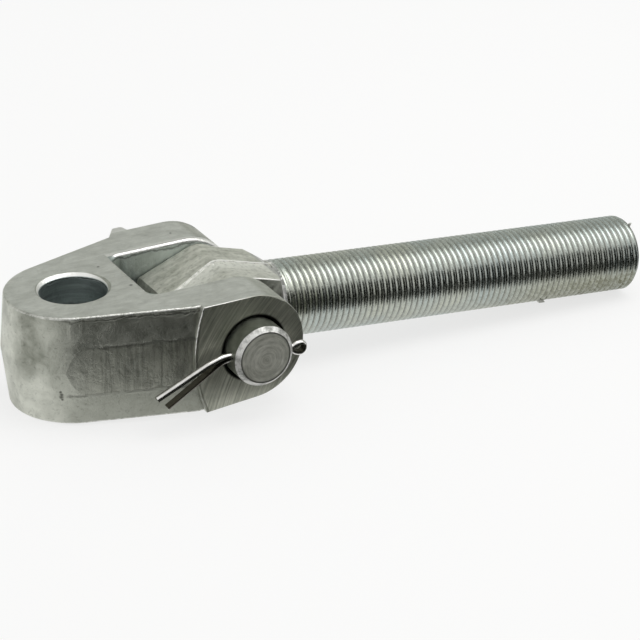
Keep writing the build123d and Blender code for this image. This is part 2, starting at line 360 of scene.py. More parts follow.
open_edges = sum(e.is_boundary for e in sliver_bm.edges)
print("sliver faces", len(slivers.data.polygons), "open edges", open_edges)

# %% [markdown]
# The eye, neck and collar are one forging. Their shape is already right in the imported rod, so
# a merged copy of it is cut off where the thread begins, and the new thread takes over there.

# %% Cut the forged eye from a copy of the rod
LOOSE_GAP = 0.01 * MM
eye_bm = bmesh.new()
eye_bm.from_mesh(nodes["eye_rod"].data)
bmesh.ops.remove_doubles(eye_bm, verts=eye_bm.verts, dist=LOOSE_GAP)
bmesh.ops.bisect_plane(
    eye_bm, geom=eye_bm.verts[:] + eye_bm.edges[:] + eye_bm.faces[:], dist=CUT_GAP,
    plane_co=to_row @ Vector((THREAD_START, 0, 0)), plane_no=to_row.to_3x3() @ Vector((1, 0, 0)), clear_outer=True,
)
bmesh.ops.holes_fill(eye_bm, edges=[e for e in eye_bm.edges if e.is_boundary], sides=0)
print("cut eye has", len(eye_bm.faces), "faces")

# %% [markdown]
# The flash line is where the two dies met and the spare metal was trimmed. On the real eye it
# bends toward the near side over the eye's end instead of staying in the middle, so its points
# are moved across. Long thin triangles would shade like a comb, so edges over 4 mm are halved, and
# this is done four times.

# %% Bend the flash line and even out the mesh
FLASH_HALF_WIDTH = 0.9 * MM
FLASH_WANDER = 5 * MM
FLASH_WANDER_END = -19 * MM
LONGEST_EDGE = 4 * MM
for v in eye_bm.verts:
    local = to_rod @ v.co
    if abs(local.y) < FLASH_HALF_WIDTH and local.z > 0 and local.x < 0:
        v.co.y -= FLASH_WANDER * min(local.x / FLASH_WANDER_END, 1)
for halving in range(4):
    long_edges = [e for e in eye_bm.edges if e.calc_length() > LONGEST_EDGE]
    bmesh.ops.subdivide_edges(eye_bm, edges=long_edges, cuts=1)
    bmesh.ops.triangulate(eye_bm, faces=eye_bm.faces)
bmesh.ops.recalc_face_normals(eye_bm, faces=eye_bm.faces)
eye = new_piece("forged_eye", eye_bm)
eye.data.shade_smooth()
eye.data.set_sharp_from_angle(angle=math.radians(14))
print("eye faces", len(eye.data.polygons))

# %% [markdown]
# The three pieces stand in for the imported rod. They take its place and ride on its body, so
# they swing about the pin together.

# %% Hand the rod's place to the new pieces
for piece in (thread, slivers, eye):
    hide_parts("eye_rod")
    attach(piece, "rod")
print("pieces on the rod:", [piece.name for piece in (thread, slivers, eye)])

# %% [markdown]
# All of the metal carries a thin coat of electroplated zinc. Zinc is a grey metal with a faint
# olive cast, so every finish here is metallic with a grey colour, and its roughness says how the
# steel below was made. The patterns are drawn in millimetres, in the object's own frame, so a
# noise scale of 0.1 gives spots about 10 mm across.

# %% Place and facing of a point, and the end of every finish


def surface(tree, origin=(0, 0, 0), droop=0):
    """Each point's place in millimetres from an origin, then X, Y and Z of its place and facing."""
    spot = add(tree, "ShaderNodeTexCoord")
    in_mm = add(
        tree, "ShaderNodeMapping",
        {"Vector": spot.outputs["Object"], "Location": origin, "Rotation": (0, droop, 0), "Scale": (MM, MM, MM)},
        vector_type="TEXTURE",
    )
    at = add(tree, "ShaderNodeSeparateXYZ", {0: in_mm})
    facing = add(tree, "ShaderNodeSeparateXYZ", {0: spot.outputs["Normal"]})
    return in_mm, at, facing


def finish(tree, shader, colour, rough, height=None, depth=0):
    """Links a finish's colour and gloss to its shader, and its relief, whose depth is in metres."""
    tree.links.new(colour.outputs[2], shader.inputs["Base Color"])
    tree.links.new(rough.outputs[0], shader.inputs["Roughness"])
    if height is not None:
        relief = add(tree, "ShaderNodeBump", {"Strength": 1.0, "Distance": depth, "Height": height})
        tree.links.new(relief.outputs[0], shader.inputs["Normal"])


# %% [markdown]
# The fork is drop forged, and its skin keeps the scale and the dents of the die. Its edges are
# rubbed bright and carry painted highlights, its flanks carry a band where the flash was sheared
# off, and its cheeks are milled. One material holds all of these, told apart by where a point is
# and how it faces. Each kind of surface gets a mask, a number from 0 to 1 that is 1 on it.

# %% Forged fork: level faces, rims and milled cheeks
PIN_AT = (64.2, 0, 0.9)
CHEEK_FACE = 45.95
fork_zinc, tree, shader = new_material("zinc_plated_forging", Metallic=1.0)
fork_mm, at, facing = surface(tree)
up = add(tree, "ShaderNodeMath", {0: facing.outputs["Z"]}, operation="ABSOLUTE")
out = add(tree, "ShaderNodeMath", {0: at.outputs["Y"]}, operation="ABSOLUTE")
level = add(tree, "ShaderNodeMapRange", {0: up, 1: 0.93, 2: 0.985}, interpolation_type="SMOOTHSTEP")
tilted = add(tree, "ShaderNodeMapRange", {0: up, 1: 0.16, 2: 0.4}, interpolation_type="SMOOTHSTEP")
outer_side = add(tree, "ShaderNodeMath", {0: 1.0, 1: tilted}, operation="SUBTRACT")
rim = add(tree, "ShaderNodeMath", {0: tilted, 1: level}, operation="SUBTRACT")
before_pin = add(tree, "ShaderNodeMapRange", {0: at.outputs["X"], 1: 63, 2: 58})
rim = add(tree, "ShaderNodeMath", {0: rim, 1: before_pin}, operation="MULTIPLY")
milled = add(tree, "ShaderNodeMapRange", {0: out, 1: 45.7, 2: CHEEK_FACE})
sideways = add(tree, "ShaderNodeMath", {0: facing.outputs["Y"]}, operation="ABSOLUTE")
sideways = add(tree, "ShaderNodeMapRange", {0: sideways, 1: 0.85, 2: 0.95})
milled = add(tree, "ShaderNodeMath", {0: milled, 1: sideways}, operation="MULTIPLY")
off_cheek = add(tree, "ShaderNodeMath", {0: 1.0, 1: milled}, operation="SUBTRACT")
on_flank = add(tree, "ShaderNodeMapRange", {0: at.outputs["X"], 1: -18, 2: -15})
upright = add(tree, "ShaderNodeMapRange", {0: up, 1: 0.06, 2: 0.02})
past_nose = add(tree, "ShaderNodeMapRange", {0: at.outputs["X"], 1: -17, 2: -2})
upright = add(tree, "ShaderNodeMath", {0: upright, 1: past_nose}, operation="MULTIPLY")
print("fork masks:", len(tree.nodes), "nodes")

# %% Forged fork: the bore and the painted highlight on its mouth
BORE_RADIUS = 15
NEAR_BORE = 2
from_eye = add(tree, "ShaderNodeCombineXYZ", {0: at.outputs["X"], 1: at.outputs["Y"]})
eye_radius = add(tree, "ShaderNodeVectorMath", {0: from_eye}, operation="LENGTH")
bored = add(tree, "ShaderNodeMapRange", {0: eye_radius.outputs["Value"], 1: BORE_RADIUS + 0.3, 2: BORE_RADIUS + 0.1})
from_bore = add(tree, "ShaderNodeMath", {0: eye_radius.outputs["Value"], 1: BORE_RADIUS}, operation="SUBTRACT")
# Painted highlight on the bore's mouth, made wider toward the far side.
mouth_highlight_width = add(tree, "ShaderNodeMapRange", {0: at.outputs["Y"], 1: -4, 2: 12, 3: 0.3, 4: 1.45})
bore_mouth_highlight = add(tree, "ShaderNodeMath", {0: from_bore, 1: mouth_highlight_width}, operation="LESS_THAN")
bore_mouth_highlight = add(tree, "ShaderNodeMath", {0: bore_mouth_highlight, 1: rim}, operation="MULTIPLY")
clear_of_bore = add(tree, "ShaderNodeMath", {0: from_bore, 1: NEAR_BORE}, operation="GREATER_THAN")
rim = add(tree, "ShaderNodeMath", {0: rim, 1: clear_of_bore}, operation="MULTIPLY")
print("bore masks:", len(tree.nodes), "nodes")

# %% Forged fork: the slot's walls and the painted highlight on its far edge
SLOT_START = 26
in_slot = add(tree, "ShaderNodeMapRange", {0: out, 1: 22.7, 2: 22.55})
past_slot_start = add(tree, "ShaderNodeMapRange", {0: at.outputs["X"], 1: SLOT_START, 2: SLOT_START + 0.5})
slot_wall = add(tree, "ShaderNodeMath", {0: in_slot, 1: past_slot_start}, operation="MULTIPLY")
# Painted highlight along the slot's far top edge only.
far_slot_edge_highlight = add(tree, "ShaderNodeMapRange", {0: at.outputs["Y"], 1: 26.2, 2: 24.6})
over_wall = add(tree, "ShaderNodeMapRange", {0: at.outputs["Y"], 1: 22.0, 2: 22.5})
for share in (over_wall, past_slot_start, tilted):
    far_slot_edge_highlight = add(tree, "ShaderNodeMath", {0: far_slot_edge_highlight, 1: share}, operation="MULTIPLY")
print("slot masks:", len(tree.nodes), "nodes")

# %% [markdown]
# Scale from the furnace flakes off in blotches about 10 mm across and leaves a grain of about
# 2 mm. The shear drags the flash down in streaks under 1 mm wide, which are drawn at about 2 mm,
# because finer ones vanish at this distance. Handling rubs the level faces lengthwise, in marks
# of about 3 by 10 mm. Pits stand where scale was hammered in, at most one in about 8 mm.

# %% Forged fork: patterns of the skin
blotch = add(
    tree, "ShaderNodeTexNoise",
    {"Vector": fork_mm, "Scale": 0.1, "Detail": 6.0, "Roughness": 0.66, "Distortion": 0.8},
)
grain = add(
    tree, "ShaderNodeTexNoise",
    {"Vector": fork_mm, "Scale": 0.45, "Detail": 5.0, "Roughness": 0.65, "Distortion": 1.4},
)
shear_place = add(tree, "ShaderNodeMapping", {"Vector": fork_mm, "Scale": (0.6, 0.6, 0.05)})
shear = add(tree, "ShaderNodeTexNoise", {"Vector": shear_place, "Scale": 1.0, "Detail": 3.0, "Roughness": 0.6})
rub_place = add(tree, "ShaderNodeMapping", {"Vector": fork_mm, "Scale": (0.1, 0.3, 0.3)})
rub = add(tree, "ShaderNodeTexNoise", {"Vector": rub_place, "Scale": 1.0, "Detail": 4.0, "Roughness": 0.65})
pit_cells = add(tree, "ShaderNodeTexVoronoi", {"Vector": fork_mm, "Scale": 0.12})
pit_share = add(tree, "ShaderNodeSeparateColor", {0: pit_cells.outputs["Color"]})
pit_size = add(tree, "ShaderNodeMapRange", {0: pit_share, 1: 0.45, 2: 1.0, 3: 0.0, 4: 0.1})
pit = add(
    tree, "ShaderNodeMapRange", {0: pit_cells.outputs["Distance"], 1: pit_size, 2: 0.0},
    interpolation_type="SMOOTHSTEP",
)
print("fork patterns:", len(tree.nodes), "nodes")

# %% [markdown]
# The shear left the flanks with a band between two ragged edges, at 11.3 mm above the fork's
# middle and 10.9 mm below it, and a third line, a painted shadow under a burr, runs under the top
# edge. Each is a distance in height, and two noises added to the height make it wander. It is
# broken where the blotches say.

# %% Forged fork: the sheared band's ragged edges, and the painted shadow under the top edge
BAND_TOP, BAND_FOOT, SHADOW_LINE = 11.3, -10.9, 23.3
ragged_z = at.outputs["Z"]
for pattern, wander in ((grain, 0.7), (blotch, 2.5)):
    wobble = add(tree, "ShaderNodeMapRange", {0: pattern, 3: -wander, 4: wander})
    ragged_z = add(tree, "ShaderNodeMath", {0: ragged_z, 1: wobble}, operation="ADD")
edge_gaps = []
for edge_z in (BAND_TOP, BAND_FOOT, SHADOW_LINE):
    gap = add(tree, "ShaderNodeMath", {0: ragged_z, 1: edge_z}, operation="SUBTRACT")
    edge_gaps.append(add(tree, "ShaderNodeMath", {0: gap}, operation="ABSOLUTE"))
to_seam = add(tree, "ShaderNodeMath", {0: edge_gaps[0], 1: edge_gaps[1]}, operation="MINIMUM")
seam = add(tree, "ShaderNodeMapRange", {0: to_seam, 1: 1.2, 2: 0.1}, interpolation_type="SMOOTHSTEP")
seam_share = add(tree, "ShaderNodeMapRange", {0: blotch, 1: 0.4, 2: 0.62})
seam = add(tree, "ShaderNodeMath", {0: seam, 1: seam_share}, operation="MULTIPLY")
# Painted shadow: a dark line under the burr of the top edge.
shadow_under_top_edge = add(tree, "ShaderNodeMapRange", {0: edge_gaps[2], 1: 0.8, 2: 0.1}, interpolation_type="SMOOTHSTEP")
for share in (on_flank, off_cheek, outer_side):
    seam = add(tree, "ShaderNodeMath", {0: seam, 1: share}, operation="MULTIPLY")
    shadow_under_top_edge = add(tree, "ShaderNodeMath", {0: shadow_under_top_edge, 1: share}, operation="MULTIPLY")
print("band edges:", len(tree.nodes), "nodes")

# %% [markdown]
# A face mill sweeps the cheeks in arcs about a centre far beyond the pin, and a boring bar leaves
# rings round the bore. The real marks are a few tenths of a millimetre apart, too fine to show
# here, so they are drawn 0.8 mm apart on the cheeks and 1.4 mm apart in the bore.

# %% Forged fork: cutter marks on the cheeks and in the bore
MILL_CENTRE = (155, 0, -62)
STEP_CENTRE_X, STEP_RADIUS = 103, 66.2
from_cutter = add(
    tree, "ShaderNodeMapping",
    {"Vector": fork_mm, "Location": tuple(-c for c in MILL_CENTRE), "Scale": (1, 0, 1)},
)
cutter_radius = add(tree, "ShaderNodeVectorMath", {0: from_cutter}, operation="LENGTH")
cutter_place = add(
    tree, "ShaderNodeCombineXYZ",
    {0: at.outputs["X"], 1: cutter_radius.outputs["Value"], 2: at.outputs["Z"]},
)
cutter_place = add(tree, "ShaderNodeMapping", {"Vector": cutter_place, "Scale": (0.03, 1.3, 0.03)})
cutter = add(tree, "ShaderNodeTexNoise", {"Vector": cutter_place, "Scale": 1.0, "Detail": 4.0, "Roughness": 0.75})
ring_place = add(tree, "ShaderNodeMapping", {"Vector": fork_mm, "Scale": (0.03, 0.03, 0.7)})
bore_rings = add(tree, "ShaderNodeTexNoise", {"Vector": ring_place, "Scale": 1.0, "Detail": 4.0, "Roughness": 0.7})
from_arc = add(
    tree, "ShaderNodeMapping", {"Vector": fork_mm, "Location": (-STEP_CENTRE_X, 0, 0), "Scale": (1, 0, 1)},
)
arc_radius = add(tree, "ShaderNodeVectorMath", {0: from_arc}, operation="LENGTH")
arc_gap = add(tree, "ShaderNodeMath", {0: arc_radius.outputs["Value"], 1: STEP_RADIUS}, operation="SUBTRACT")
arc_gap = add(tree, "ShaderNodeMath", {0: arc_gap}, operation="ABSOLUTE")
arc_line = add(tree, "ShaderNodeMapRange", {0: arc_gap, 1: 0.8, 2: 0.2})
arc_fade = add(tree, "ShaderNodeMapRange", {0: ragged_z, 1: 20, 2: 13, 3: 0.25, 4: 1.0})
for share in (arc_fade, milled):
    arc_line = add(tree, "ShaderNodeMath", {0: arc_line, 1: share}, operation="MULTIPLY")
print("cutter marks:", len(tree.nodes), "nodes")

# %% [markdown]
# The colours are laid like coats of paint, each over the ones before it where its mask says. The
# skin comes first: it is olive grey and cloudy on the nose, with a painted highlight that makes it
# paler low on the nose and toward its tip. It is drawn in streaks where it was sheared, and is a
# shade darker at the foot of the flanks.

# %% Forged fork: colours of the skin
SCALE_DARK, SCALE_PALE = linear("74776C"), linear("D2D4CA")
SHEARED_DARK, SHEARED_PALE, STREAK = linear("92948A"), linear("C2C4B8"), linear("6E7068")
# Painted highlight: on the nose the skin is paler low down and toward its tip.
on_nose = add(tree, "ShaderNodeMapRange", {0: at.outputs["X"], 1: -14, 2: -26, 3: 0.0, 4: 0.4})
nose_painted_highlight = add(tree, "ShaderNodeMapRange", {0: ragged_z, 1: 3, 2: -9}, interpolation_type="SMOOTHSTEP")
tip = add(tree, "ShaderNodeMapRange", {0: at.outputs["Y"], 1: -14, 2: -4}, interpolation_type="SMOOTHSTEP")
nose_painted_highlight = add(tree, "ShaderNodeMath", {0: nose_painted_highlight, 1: tip}, operation="MAXIMUM")
cloud = add(tree, "ShaderNodeTexNoise", {"Vector": fork_mm, "Scale": 0.085, "Detail": 3.0, "Roughness": 0.5})
nose_cloud = add(tree, "ShaderNodeMapRange", {0: cloud, 1: 0.38, 2: 0.62, 3: -0.75, 4: 0.15})
skin_tone = blotch
for brightened in (nose_painted_highlight, nose_cloud):
    skin_tone = add(tree, "ShaderNodeMath", {0: on_nose, 1: brightened, 2: skin_tone}, operation="MULTIPLY_ADD")
skin = add(tree, "ShaderNodeMix", {0: skin_tone, 6: SCALE_DARK, 7: SCALE_PALE}, data_type="RGBA")
sheared = add(tree, "ShaderNodeMix", {0: blotch, 6: SHEARED_DARK, 7: SHEARED_PALE}, data_type="RGBA")
shear_share = add(tree, "ShaderNodeMapRange", {0: shear, 1: 0.42, 2: 0.66, 3: 0.0, 4: 0.55})
shear_share = add(tree, "ShaderNodeMath", {0: shear_share, 1: upright}, operation="MULTIPLY")
low_flank = add(tree, "ShaderNodeMapRange", {0: ragged_z, 1: -10, 2: -14, 3: 0.0, 4: 0.3})
low_flank = add(tree, "ShaderNodeMath", {0: low_flank, 1: past_nose}, operation="MULTIPLY")
for share, tone in ((upright, sheared.outputs[2]), (shear_share, STREAK), (low_flank, SCALE_DARK)):
    skin = add(tree, "ShaderNodeMix", {0: share, 6: skin.outputs[2], 7: tone}, data_type="RGBA")
print("skin colours:", len(tree.nodes), "nodes")

# %% Forged fork: level faces and dark mottle
FACE_DARK, FACE_PALE, MOTTLE = linear("B6B8B1"), linear("D6D8D2"), linear("4A4C45")
face_tone = add(tree, "ShaderNodeMath", {0: rub, 1: 0.5}, operation="MULTIPLY")
face_tone = add(tree, "ShaderNodeMath", {0: blotch, 1: 0.5, 2: face_tone}, operation="MULTIPLY_ADD")
face_tone = add(tree, "ShaderNodeMapRange", {0: face_tone, 1: 0.35, 2: 0.65})
face = add(tree, "ShaderNodeMix", {0: face_tone, 6: FACE_DARK, 7: FACE_PALE}, data_type="RGBA")
mottle = add(tree, "ShaderNodeMapRange", {0: grain, 1: 0.3, 2: 0.45, 3: 0.36, 4: 0.0})
level_mottle = add(tree, "ShaderNodeMath", {0: mottle, 1: 0.4}, operation="MULTIPLY")
mottle = add(tree, "ShaderNodeMix", {0: level, 2: mottle, 3: level_mottle}, data_type="FLOAT")
print("face colours:", len(tree.nodes), "nodes")

# %% Forged fork: edges rubbed bright, with painted highlights
# Painted highlight, partly real wear: the edges are coloured near white where they shine.
WORN_AND_HIGHLIGHT = linear("E4E4E0")
wear_and_highlight = add(tree, "ShaderNodeMapRange", {0: grain, 1: 0.4, 2: 0.62, 3: 0.15, 4: 0.9})
nose_fade = add(tree, "ShaderNodeMapRange", {0: at.outputs["X"], 1: -26, 2: -14, 3: 0.6, 4: 1.0})
for share in (nose_fade, rim):
    wear_and_highlight = add(tree, "ShaderNodeMath", {0: wear_and_highlight, 1: share}, operation="MULTIPLY")
# Painted highlight: a thin bright line along the rims of the cheeks.
cheek_rim_highlight = add(tree, "ShaderNodeMapRange", {0: out, 1: 45.1, 2: 45.5, 3: 0.0, 4: 0.8})
before_round = add(tree, "ShaderNodeMapRange", {0: at.outputs["X"], 1: 66, 2: 54})
for share in (tilted, before_round):
    cheek_rim_highlight = add(tree, "ShaderNodeMath", {0: cheek_rim_highlight, 1: share}, operation="MULTIPLY")
far_slot_highlight = add(tree, "ShaderNodeMapRange", {0: grain, 1: 0.3, 2: 0.5, 3: 0.6, 4: 1.0})
far_slot_highlight = add(tree, "ShaderNodeMath", {0: far_slot_edge_highlight, 1: far_slot_highlight}, operation="MULTIPLY")
for bright in (bore_mouth_highlight, cheek_rim_highlight, far_slot_highlight):
    wear_and_highlight = add(tree, "ShaderNodeMath", {0: wear_and_highlight, 1: bright}, operation="MAXIMUM")
print("wear:", len(tree.nodes), "nodes")

# %% [markdown]
# The slot's walls carry painted shade: they are darker toward the slot's closed end and its
# bottom, and paler toward the open end and the top. The milled cheeks are streaked by the cutter,
# and a ring of painted shade darkens them round the pin.

# %% Forged fork: slot walls, milled cheeks and bore, with painted shade
WALL_SHADE, WALL_PALE = linear("566059"), linear("E0E8E4")
CUT_DARK, CUT_PALE, RING_SHADE = linear("7E8074"), linear("DCDED0"), linear("20211E")
BORE_DARK, BORE_PALE = linear("868F8E"), linear("B0BAB8")
# Painted shade: the walls are darker toward the slot's closed end and its bottom.
wall_tone_and_shade = add(tree, "ShaderNodeMapRange", {0: at.outputs["Z"], 1: -6, 2: 24, 3: -0.25, 4: 0.25})
closed_end_shade = add(tree, "ShaderNodeMapRange", {0: at.outputs["X"], 1: 27, 2: 60, 3: -0.25, 4: 0.3})
wall_tone_and_shade = add(tree, "ShaderNodeMath", {0: closed_end_shade, 1: wall_tone_and_shade}, operation="ADD")
wall_tone_and_shade = add(tree, "ShaderNodeMath", {0: blotch, 1: wall_tone_and_shade}, operation="ADD", use_clamp=True)
walls = add(tree, "ShaderNodeMix", {0: wall_tone_and_shade, 6: WALL_SHADE, 7: WALL_PALE}, data_type="RGBA")
cut_tone = add(tree, "ShaderNodeMapRange", {0: cutter, 1: 0.35, 2: 0.65})
cut_tone = add(tree, "ShaderNodeMath", {0: cut_tone, 1: 0.65, 2: -0.05}, operation="MULTIPLY_ADD")
cut_tone = add(tree, "ShaderNodeMath", {0: blotch, 1: 0.5, 2: cut_tone}, operation="MULTIPLY_ADD")
cut = add(tree, "ShaderNodeMix", {0: cut_tone, 6: CUT_DARK, 7: CUT_PALE}, data_type="RGBA")
# Painted shade: a dark ring on the cheeks round the pin.
from_pin = add(
    tree, "ShaderNodeMapping", {"Vector": fork_mm, "Location": tuple(-c for c in PIN_AT), "Scale": (1, 0, 1)},
)
pin_distance = add(tree, "ShaderNodeVectorMath", {0: from_pin}, operation="LENGTH")
pin_ring_shade = add(
    tree, "ShaderNodeMapRange", {0: pin_distance.outputs["Value"], 1: 16.4, 2: 15.2},
    interpolation_type="SMOOTHSTEP",
)
outside = add(tree, "ShaderNodeMapRange", {0: out, 1: 43, 2: 44})
pin_ring_shade = add(tree, "ShaderNodeMath", {0: pin_ring_shade, 1: outside}, operation="MULTIPLY")
bore_tone = add(tree, "ShaderNodeMapRange", {0: bore_rings, 1: 0.3, 2: 0.7})
bore = add(tree, "ShaderNodeMix", {0: bore_tone, 6: BORE_DARK, 7: BORE_PALE}, data_type="RGBA")
print("cut surfaces:", len(tree.nodes), "nodes")

# %% [markdown]
# Nicks are knocks from handling. Each is a dot at a place that the photograph shows, and the
# four in a column on the near side of the nose make one dark notch. With the pits, the band's
# edges, the cutter's step and the painted shadow under the top edge they are the dark marks,
# which also sink a little in the relief.

# %% Forged fork: dark marks
# Each nick's centre and radius, in millimetres.
NICKS = (
    ((78.6, 44.8, 20.6), 3.0), ((-27.9, -10.2, 9.6), 1.3),
    ((-18.9, -26, -9.2), 0.8), ((-18.5, -26, -10.5), 1.1), ((-18.7, -26, -11.7), 1.3), ((-18.3, -26, -12.9), 0.8),
    ((18.4, 14.8, 25.4), 0.9), ((23.2, -9.6, 25.4), 1.1), ((62, 32.4, 25.4), 0.8),
)
MARK, MARK_STRENGTH = linear("3A3B35"), 0.56
marks = [seam, arc_line, shadow_under_top_edge]
for place, size in NICKS:
    gap = add(tree, "ShaderNodeVectorMath", {0: fork_mm, 1: place}, operation="DISTANCE")
    marks.append(add(tree, "ShaderNodeMapRange", {0: gap.outputs["Value"], 1: size, 2: size / 3, 4: 1.4}))
dark = pit
for mark in marks:
    dark = add(tree, "ShaderNodeMath", {0: dark, 1: mark}, operation="MAXIMUM")
dark = add(tree, "ShaderNodeMath", {0: dark, 1: MARK_STRENGTH}, operation="MULTIPLY")
print("dark marks:", len(marks) + 1)

# %% Forged fork: lay the colours over the skin
colour = skin
for share, tone in (
    (level, face.outputs[2]), (mottle, MOTTLE), (wear_and_highlight, WORN_AND_HIGHLIGHT), (slot_wall, walls.outputs[2]),
    (milled, cut.outputs[2]), (pin_ring_shade, RING_SHADE), (bored, bore.outputs[2]), (dark, MARK),
):
    colour = add(tree, "ShaderNodeMix", {0: share, 6: colour.outputs[2], 7: tone}, data_type="RGBA")
print("fork colours:", len(tree.nodes), "nodes")

# %% [markdown]
# Forged skin is dull, milled steel duller still from its fine ridges, and rubbed edges, where the
# highlights are painted, shine. The relief follows the same patterns, at up to about half a
# millimetre, and level faces are flatter.

# %% Forged fork: gloss and relief
LEVEL_ROUGH, MILLED_ROUGH, WORN_ROUGH = 0.42, 0.52, 0.33
MILLED_METALLIC = 0.93
rough = add(tree, "ShaderNodeMapRange", {0: blotch, 1: 0.3, 2: 0.7, 3: 0.42, 4: 0.56})
for share, value in ((level, LEVEL_ROUGH), (milled, MILLED_ROUGH), (wear_and_highlight, WORN_ROUGH)):
    rough = add(tree, "ShaderNodeMix", {0: share, 2: rough, 3: value}, data_type="FLOAT")
dull = add(tree, "ShaderNodeMapRange", {0: milled, 3: 1.0, 4: MILLED_METALLIC})
tree.links.new(dull.outputs[0], shader.inputs["Metallic"])
height = add(tree, "ShaderNodeMath", {0: blotch, 1: 1.6}, operation="MULTIPLY")
height = add(tree, "ShaderNodeMath", {0: grain, 1: 0.55, 2: height}, operation="MULTIPLY_ADD")
level_height = add(tree, "ShaderNodeMath", {0: height, 1: 0.35}, operation="MULTIPLY")
milled_height = add(tree, "ShaderNodeMath", {0: cutter, 1: 0.25}, operation="MULTIPLY")
for share, flatter in ((level, level_height), (milled, milled_height)):
    height = add(tree, "ShaderNodeMix", {0: share, 2: height, 3: flatter}, data_type="FLOAT")
for pattern, lift in ((shear_share, 0.2), (dark, -0.9)):
    height = add(tree, "ShaderNodeMath", {0: pattern, 1: lift, 2: height}, operation="MULTIPLY_ADD")
finish(tree, shader, colour, rough, height, 0.3 * MM)
coat(nodes["knuckle"], fork_zinc)
print("fork finish:", len(tree.nodes), "nodes")

# %% [markdown]
# The clevis pin is turned from bar. Its end shows the rings that a lathe's tool leaves as it
# faces the bar off, and its sides show finer ones. Real feed marks are about 0.2 mm apart, too
# fine to show, so they are drawn about 1.3 mm apart. They are rings about the pin's own axis.

# %% Turned pin: end, head and sides
pin_zinc, tree, shader = new_material("zinc_plated_turned_bar", Metallic=1.0)
pin_mm, at, facing = surface(tree, origin=PIN_CENTRE)
out = add(tree, "ShaderNodeMath", {0: facing.outputs["Y"]}, operation="ABSOLUTE")
end_face = add(tree, "ShaderNodeMapRange", {0: out, 1: 0.93, 2: 0.98})
side_face = add(tree, "ShaderNodeMapRange", {0: out, 1: 0.4, 2: 0.1})
near_end = add(tree, "ShaderNodeMath", {0: at.outputs["Y"], 1: 0}, operation="LESS_THAN")
face_place = add(tree, "ShaderNodeMapping", {"Vector": pin_mm, "Location": (-0.6, 0, 1.2), "Scale": (1, 0, 1)})
face_radius = add(tree, "ShaderNodeVectorMath", {0: face_place}, operation="LENGTH")
face_place = add(
    tree, "ShaderNodeCombineXYZ",
    {0: at.outputs["X"], 1: face_radius.outputs["Value"], 2: at.outputs["Z"]},
)
face_place = add(tree, "ShaderNodeMapping", {"Vector": face_place, "Scale": (0.1, 0.7, 0.1)})
face_rings = add(tree, "ShaderNodeTexNoise", {"Vector": face_place, "Scale": 1.0, "Detail": 3.0, "Roughness": 0.7})
mottle = add(tree, "ShaderNodeTexNoise", {"Vector": pin_mm, "Scale": 0.25, "Detail": 5.0, "Roughness": 0.65})
side_place = add(tree, "ShaderNodeMapping", {"Vector": pin_mm, "Scale": (0.03, 0.8, 0.03)})
side_rings = add(tree, "ShaderNodeTexNoise", {"Vector": side_place, "Scale": 1.0, "Detail": 3.0, "Roughness": 0.7})
end_radius = add(tree, "ShaderNodeMapping", {"Vector": pin_mm, "Scale": (1, 0, 1)})
end_radius = add(tree, "ShaderNodeVectorMath", {0: end_radius}, operation="LENGTH")
end_line = add(tree, "ShaderNodeMapRange", {0: end_radius.outputs["Value"], 1: 11.0, 2: 11.6, 3: 0.0, 4: 0.85})
for share in (end_face, near_end):
    end_line = add(tree, "ShaderNodeMath", {0: end_line, 1: share}, operation="MULTIPLY")
print("pin masks:", len(tree.nodes), "nodes")

# %% Turned pin: colours, gloss and relief
END_DARK, END_PALE, END_LINE = linear("B4B6A8"), linear("FCFCF2"), linear("4A4B46")
HEAD_DARK, HEAD_PALE = linear("8C8E84"), linear("B8BAB0")
SIDE_DARK, SIDE_PALE = linear("5E6258"), linear("9EA296")
CHAMFER_DARK, CHAMFER_PALE = linear("8E8F8A"), linear("E8E8E4")
END_METALLIC = 0.78
end_tone = add(tree, "ShaderNodeMapRange", {0: face_rings, 1: 0.3, 2: 0.7})
end_tone = add(tree, "ShaderNodeMath", {0: end_tone, 1: 0.8, 2: -0.35}, operation="MULTIPLY_ADD")
end_tone = add(tree, "ShaderNodeMath", {0: mottle, 1: end_tone}, operation="ADD")
end = add(tree, "ShaderNodeMix", {0: end_tone, 6: END_DARK, 7: END_PALE}, data_type="RGBA")
head = add(tree, "ShaderNodeMix", {0: mottle, 6: HEAD_DARK, 7: HEAD_PALE}, data_type="RGBA")
end = add(tree, "ShaderNodeMix", {0: near_end, 6: head.outputs[2], 7: end.outputs[2]}, data_type="RGBA")
side = add(tree, "ShaderNodeMix", {0: mottle, 6: SIDE_DARK, 7: SIDE_PALE}, data_type="RGBA")
chamfer_tone = add(tree, "ShaderNodeMapRange", {0: mottle, 1: 0.36, 2: 0.56})
colour = add(tree, "ShaderNodeMix", {0: chamfer_tone, 6: CHAMFER_DARK, 7: CHAMFER_PALE}, data_type="RGBA")
for share, tone in ((end_face, end.outputs[2]), (end_line, END_LINE), (side_face, side.outputs[2])):
    colour = add(tree, "ShaderNodeMix", {0: share, 6: colour.outputs[2], 7: tone}, data_type="RGBA")
dull = add(tree, "ShaderNodeMapRange", {0: end_face, 3: 1.0, 4: END_METALLIC})
tree.links.new(dull.outputs[0], shader.inputs["Metallic"])
rough = add(tree, "ShaderNodeMapRange", {0: mottle, 1: 0.3, 2: 0.7, 3: 0.42, 4: 0.56})
height = end_tone
for share in (near_end, end_face):
    height = add(tree, "ShaderNodeMath", {0: height, 1: share}, operation="MULTIPLY")
height = add(tree, "ShaderNodeMath", {0: side_rings, 1: 0.5, 2: height}, operation="MULTIPLY_ADD")
finish(tree, shader, colour, rough, height, 0.12 * MM)
coat(nodes["clevis_pin"], pin_zinc)
print("pin finish:", len(tree.nodes), "nodes")

# %% [markdown]
# The split pin is bright drawn wire. Drawing leaves it nearly polished, so it is the glossiest
# piece: one side shows the white sky and the other the dark card. The flat sides of the half-round
# legs were pressed in the die and are darker, and the lower leg is painted darker as shade.

